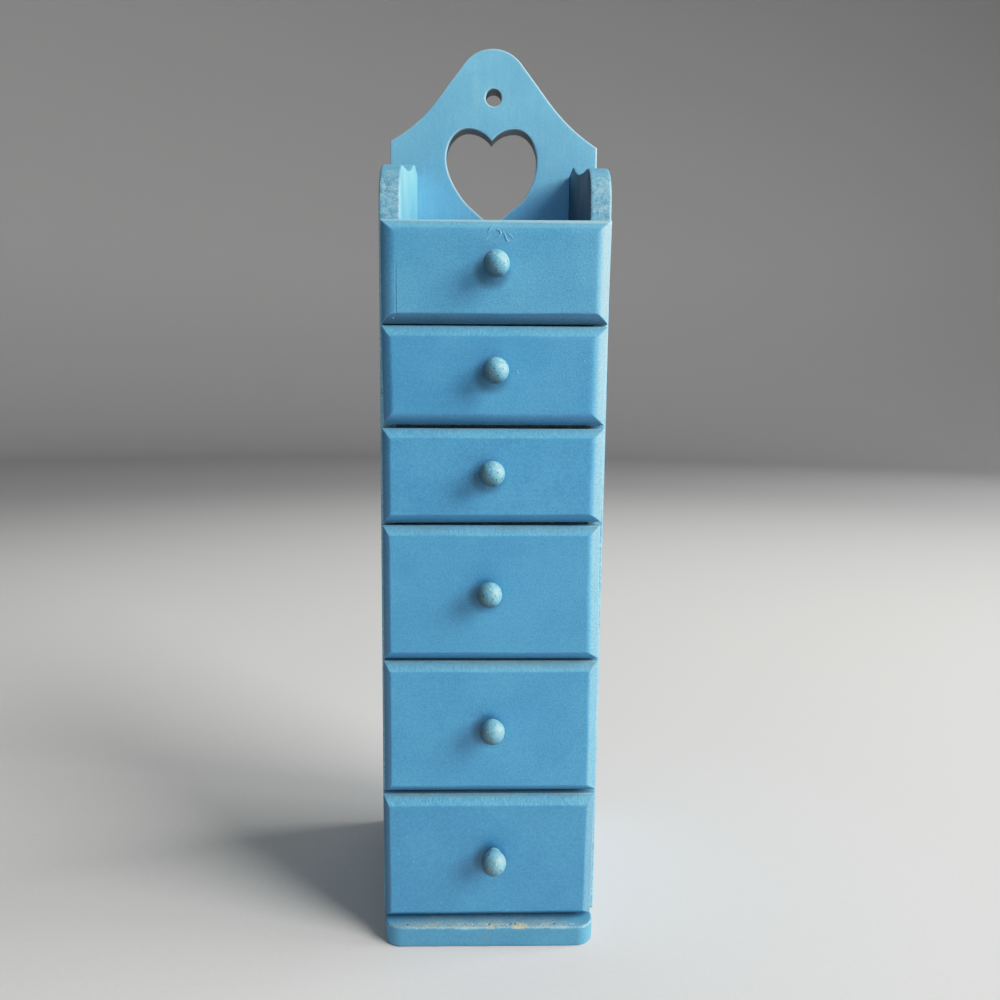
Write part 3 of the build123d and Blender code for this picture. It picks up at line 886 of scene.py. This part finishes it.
# Softness of the crease between face and chamfer, in chamfer widths: left, right, bottom, top.
CREASES = {1: (0.75, 0.40, 0.16, 0.40), 2: (0.40, 0.50, 0.45, 0.20), 3: (0.25, 0.40, 0.20, 0.18),
           4: (0.22, 0.30, 0.18, 0.18), 5: (0.20, 0.22, 0.16, 0.20), 6: (0.20, 0.20, 0.16, 0.25)}
# The fronts are out of true: shifts in x and z of each one's lower left, lower right, upper left
# and upper right corners.
SHIFTS = {1: ((0.0, -1.1), (0.4, 0.0), (-0.2, 0.1), (1.1, 1.2)),
          2: ((0.9, -0.4), (-0.3, 0.2), (-0.2, -0.3), (0.4, 0.4)),
          3: ((0.2, -0.1), (-0.6, 1.1), (-0.2, -0.7), (0.1, -0.1)),
          4: ((0.1, 0.1), (0.0, 0.4), (-0.2, 0.1), (-0.9, 0.6)),
          5: ((0.0, -0.7), (0.4, -0.2), (-0.1, 0.3), (0.0, 0.7)),
          6: ((-0.4, -0.3), (-0.8, 0.3), (-0.8, -1.2), (0.0, -1.0))}
CRACK_X, CRACK_LOW, CRACK_HIGH = -47.6, 327.5, 350.5    # hairline crack in the top front
CRACK_COLUMNS, CRACK_DEPTH = (-0.45, -0.14, 0.0, 0.14, 0.45), 0.35


def line_places(low, high, low_width, high_width, extra=()):
    """Grid lines across a front, close over the chamfers and near the extra places."""
    places = [low + share * low_width for share in SHARES]
    last = [high - share * high_width for share in reversed(SHARES)]
    parts = ceil((last[0] - places[-1]) / FRONT_SPACING)
    places += [places[-1] + (last[0] - places[-1]) * part / parts for part in range(1, parts)]
    return sorted(set(places + last + list(extra)))


def soft_rise(share, crease):
    """Depth of the chamfer over its full depth: 1 at the outer edge, 0 on the face."""
    if share > 1 + crease:
        return 0.0
    if share < 1 - crease:
        return 1 - share
    return (1 + crease - share) ** 2 / (4 * crease)


def out_of_true(number, low, high, x, y, z):
    """Where a point of a front really is, by the shifts of its corners."""
    across, up = (x - low.x) / (high.x - low.x), (z - low.z) / (high.z - low.z)
    shares = ((1 - across) * (1 - up), across * (1 - up), (1 - across) * up, across * up)
    return (x + sum(share * shift[0] for share, shift in zip(shares, SHIFTS[number])), y,
            z + sum(share * shift[1] for share, shift in zip(shares, SHIFTS[number])))


def add_front(number):
    node = f"drawer_{number}_front"
    low, high = box_mm(node)
    knob = sum(box_mm(f"drawer_{number}_knob"), Vector()) / 2
    knob.y = low.y
    left, right, bottom, top = CHAMFERS[number]
    crack = [CRACK_X + shift for shift in CRACK_COLUMNS] if number == 1 else []
    columns = line_places(low.x, high.x, left, right, crack)
    rows = line_places(low.z, high.z, bottom, top)
    points, edges, faces = [], [], []
    for z in rows:
        for x in columns:
            # how far from each edge, in chamfer widths that waver along it
            sides = [(x - low.x) / (left * (1 + 0.07 * wander((z, number * 9, 0), 16, 1))),
                     (high.x - x) / (right * (1 + 0.07 * wander((z, 3, number), 16, 2))),
                     (z - low.z) / (bottom * (1 + 0.08 * wander((x, number * 5, 0), 22, 3))),
                     (high.z - z) / (top * (1 + 0.08 * wander((x, 7, number), 22, 4)))]
            nearest, second = sorted(sides)[:2]
            depth = CHAMFER_DEPTH * max(soft_rise(share, crease)
                                        for share, crease in zip(sides, CREASES[number]))
            outer = min(x - low.x, high.x - x, z - low.z, high.z - z)
            depth += 0.35 * exp(-(outer / 0.22) ** 2)
            depth += 0.05 * wander((x, 0, z), 26, number) * (1 if nearest > 1 else 0.4)
            if number == 1 and CRACK_LOW < z < CRACK_HIGH and abs(x - CRACK_X) < 0.1:
                depth += CRACK_DEPTH
            points.append((x, low.y + max(0.0, depth), z))
            crease = 0.62 * exp(-((nearest - 1) / 0.13) ** 2)
            rim_wear = exp(-(outer / 0.55) ** 2)
            mitre = 0.5 * exp(-((second - nearest) / 0.07) ** 2) if nearest < 0.95 else 0.0
            edges.append(max(crease, rim_wear, mitre))
    wide, tall = len(columns), len(rows)

    def at(column, row):
        return row * wide + column

    reach = len(SHARES)
    for row in range(tall - 1):
        for column in range(wide - 1):
            a, b, c, d = (at(column + u, row + v) for u, v in ((0, 0), (1, 0), (1, 1), (0, 1)))
            # the triangles lie along the mitre at each corner
            upper_left = column < reach and row >= tall - 1 - reach
            lower_right = column >= wide - 1 - reach and row < reach
            faces += ([(a, b, d), (b, c, d)] if upper_left or lower_right
                      else [(a, b, c), (a, c, d)])
    ring = ([at(column, 0) for column in range(wide)] + [at(wide - 1, row) for row in range(1, tall)]
            + [at(column, tall - 1) for column in range(wide - 2, -1, -1)]
            + [at(0, row) for row in range(tall - 2, 0, -1)])
    # rings round the front's edge to its back, as depth, inset and wear
    thickness = high.y - low.y
    walls = [(CHAMFER_DEPTH + 0.75, 0.0, 0.9), (CHAMFER_DEPTH + 1.3, 0.0, 0.4),
             (thickness - 2.0, 0.0, 0.1), (thickness - 0.5, 0.0, 0.6),
             (thickness - 0.12, 0.14, 1.0), (thickness, 0.5, 0.8), (thickness, 2.0, 0.0)]
    first, count = len(points), len(ring)
    for depth, inset, wear in walls:
        points += [(min(max(points[index][0], low.x + inset), high.x - inset), low.y + depth,
                    min(max(points[index][2], low.z + inset), high.z - inset)) for index in ring]
        edges += [wear] * count
    faces += [(ring[here], ring[here + 1 - count], first + (here + 1) % count, first + here)
              for here in range(count)]
    faces += ring_faces(first, count, len(walls))
    faces += flat_faces(points, [range(len(points) - count, len(points))])
    points = [out_of_true(number, low, high, *point) for point in points]
    add_piece(f"front_{number}", points, faces, f"drawer_{number}", [node],
              front_paint(number, low.z, high.z, knob), edges)


# ---- knobs
KNOB_SIDES = 64
KNOB_BALL, KNOB_LIMIT = 6.35, 6.45      # radius, and its most with lumps
KNOB_MIDDLE = 7.25      # of the ball, out from the face
KNOB_TIP = 13.55
KNOB_NECK = ((0.0, 3.95), (0.2, 3.78), (0.8, 3.66), (1.5, 3.68), (1.95, 3.86))
KNOB_RINGS = 18
KNOB_START, KNOB_END = 146.0, 7.0       # degrees from the tip: where ball meets neck, last ring
RUN_ANGLE, RUN_REACH = 1.6 * pi, 7.0    # a run of paint on the lower side


def knob_profile():
    """Reach from the face and radius, from the neck round the ball nearly to its tip."""
    rings = list(KNOB_NECK)
    for ring in range(KNOB_RINGS):
        angle = radians(KNOB_START - (KNOB_START - KNOB_END) * ring / (KNOB_RINGS - 1))
        rings.append((KNOB_MIDDLE + (KNOB_BALL - 0.1) * cos(angle), KNOB_BALL * sin(angle)))
    return rings


def add_knob(number):
    node = f"drawer_{number}_knob"
    low, high = box_mm(node)
    centre_x, centre_z = (low.x + high.x) / 2, (low.z + high.z) / 2
    points = []
    profile = knob_profile()
    for reach, radius in profile:
        for angle in turns(KNOB_SIDES):
            way = (cos(angle), reach / 6, sin(angle))
            lump = 0.16 * wander(way, 0.7, number) + 0.07 * wander(way, 0.25, number + 30)
            run = 0.2 * exp(-((angle - RUN_ANGLE) / 0.5) ** 2) * exp(-((reach - RUN_REACH) / 2.6) ** 2)
            size = min(radius + (lump + run) * min(1.0, reach / 2), KNOB_LIMIT)
            points.append((centre_x + size * cos(angle), high.y - reach,
                           centre_z + size * sin(angle)))
    faces = ring_faces(0, KNOB_SIDES, len(profile))
    last = len(points) - KNOB_SIDES
    points += [(centre_x, high.y - KNOB_TIP, centre_z), (centre_x, high.y, centre_z)]
    for side in range(KNOB_SIDES):
        after = (side + 1) % KNOB_SIDES
        faces.append((last + side, last + after, len(points) - 2))
        faces.append((after, side, len(points) - 1))
    add_piece(f"knob_{number}", points, faces, f"drawer_{number}", [node], knob_paint(number))


# ---- dried paint on the top front
# Curls above the top knob: x, z and half width of each point along them.
CURLS = (
    ((-1.0, 369.2, 0.16), (-1.9, 368.0, 0.28), (-3.0, 366.9, 0.26), (-3.6, 365.4, 0.14)),
    ((0.6, 366.9, 0.16), (1.8, 366.5, 0.32), (2.6, 365.2, 0.36), (1.7, 364.0, 0.30),
     (0.2, 363.9, 0.22), (-0.6, 364.8, 0.14)),
    ((3.4, 366.3, 0.14), (4.4, 364.6, 0.32), (5.2, 362.7, 0.36), (6.0, 361.6, 0.30),
     (7.0, 362.1, 0.24), (7.6, 361.4, 0.14)),
    ((5.6, 365.8, 0.14), (6.8, 364.4, 0.28), (7.8, 363.7, 0.26), (8.6, 362.4, 0.14)),
    ((-0.9, 361.9, 0.12), (-0.2, 361.1, 0.20), (0.9, 361.2, 0.12)),
    ((-3.4, 363.7, 0.12), (-4.1, 362.5, 0.22), (-5.0, 361.8, 0.12)),
    ((-2.6, 360.6, 0.10), (-2.2, 359.6, 0.18), (-2.4, 358.6, 0.10)),
)
SCUFF = ((-49.3, 325.0, 0.10), (-48.4, 325.9, 0.30), (-47.5, 326.9, 0.12))
SCUFF_DEPTH = 2.1       # in the chamfer, behind the face
SCUFF_WHITE, SCUFF_BLUE = (0.80, 0.88, 0.86), (0.50, 0.70, 0.74)
NIB = ((10.6, 300.9, 0.14), (11.3, 299.9, 0.30), (11.8, 298.8, 0.12))


def curl_mesh(runs, face_y, sides=8, steps=5):
    """Flattened tubes along smooth runs, half sunk in the face."""
    points, faces = [], []
    for run in runs:
        knots = [Vector(knot) for knot in run]
        knots = [2 * knots[0] - knots[1]] + knots + [2 * knots[-1] - knots[-2]]
        line = []
        for a, b, c, d in zip(knots, knots[1:], knots[2:], knots[3:]):
            line += hermite(b, c, (c - a) / 2, (d - b) / 2, steps)
        line.append(knots[-2])
        first = len(points)
        for here, knot in enumerate(line):
            ahead = line[min(here + 1, len(line) - 1)] - line[max(here - 1, 0)]
            across = Vector((-ahead.y, ahead.x)).normalized()
            for angle in turns(sides):
                out = knot.z * cos(angle)
                points.append((knot.x + across.x * out, face_y - 1.15 * knot.z * sin(angle),
                               knot.y + across.y * out))
        faces += ring_faces(first, sides, len(line))
        faces.append(tuple(range(first, first + sides)))
        faces.append(tuple(range(len(points) - 1, len(points) - 1 - sides, -1)))
    return points, faces


def add_dried_paint():
    face_y = box_mm("drawer_1_front")[0].y + 0.05
    dried = dry_paint("paint_ridge", (7, 3, 1), 1.2, 0.4, (PAINT_LIGHT, PAINT_SPECK), (0.3, 0.45))
    white = dry_paint("paint_scuff", (17, 5, 2), 1.6, 0.35, (SCUFF_WHITE, SCUFF_BLUE), (0.5, 0.7))
    for name, runs, depth, body, material in (
            ("dried_paint_curls", CURLS, 0.0, "drawer_1", dried),
            ("scuff_front_1", [SCUFF], SCUFF_DEPTH, "drawer_1", white),
            ("nib_front_2", [NIB], 0.0, "drawer_2", dried)):
        add_piece(name, *curl_mesh(runs, face_y + depth), body, [], material)


# ---- carried-over CAD nodes
def dress_nodes():
    """Materials of the CAD nodes, with the grain along each board."""
    steel_finish = steel("zinc_steel", 3)
    grain = {"side_left": 1, "side_right": 1, "back": 0, "bottom": 0}
    for name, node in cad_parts.items():
        kind = name.split("_", 2)[-1] if name.startswith("drawer_") else name
        if kind in ("knob_screw", "brads", "back_nails", "base_screws"):
            material = steel_finish
        elif name.startswith("drawer_") and kind in grain:
            number = int(name.split("_")[1])
            material = bare_wood(f"pine_{name}", grain[kind], number * 4 + len(kind))
        elif name.startswith("divider_"):
            # their forward edges painted dark, as dirt and painted shade in the gaps between the
            # drawers
            material = case_paint(f"paint_{name}", 0, 11 + int(name[-1]), bays=True,
                                  edge_radius=0.6, front_dirt_and_shade=0.35)
        else:
            material = case_paint(f"paint_{name}", 0, 9, edge_radius=0.6)
        node.data.materials.clear()
        node.data.materials.append(material)


add_camera()
add_light()
add_stage()
dress_nodes()
add_sides()
add_back()
add_base()
for number in CHAMFERS:
    add_front(number)
    add_knob(number)
add_dried_paint()
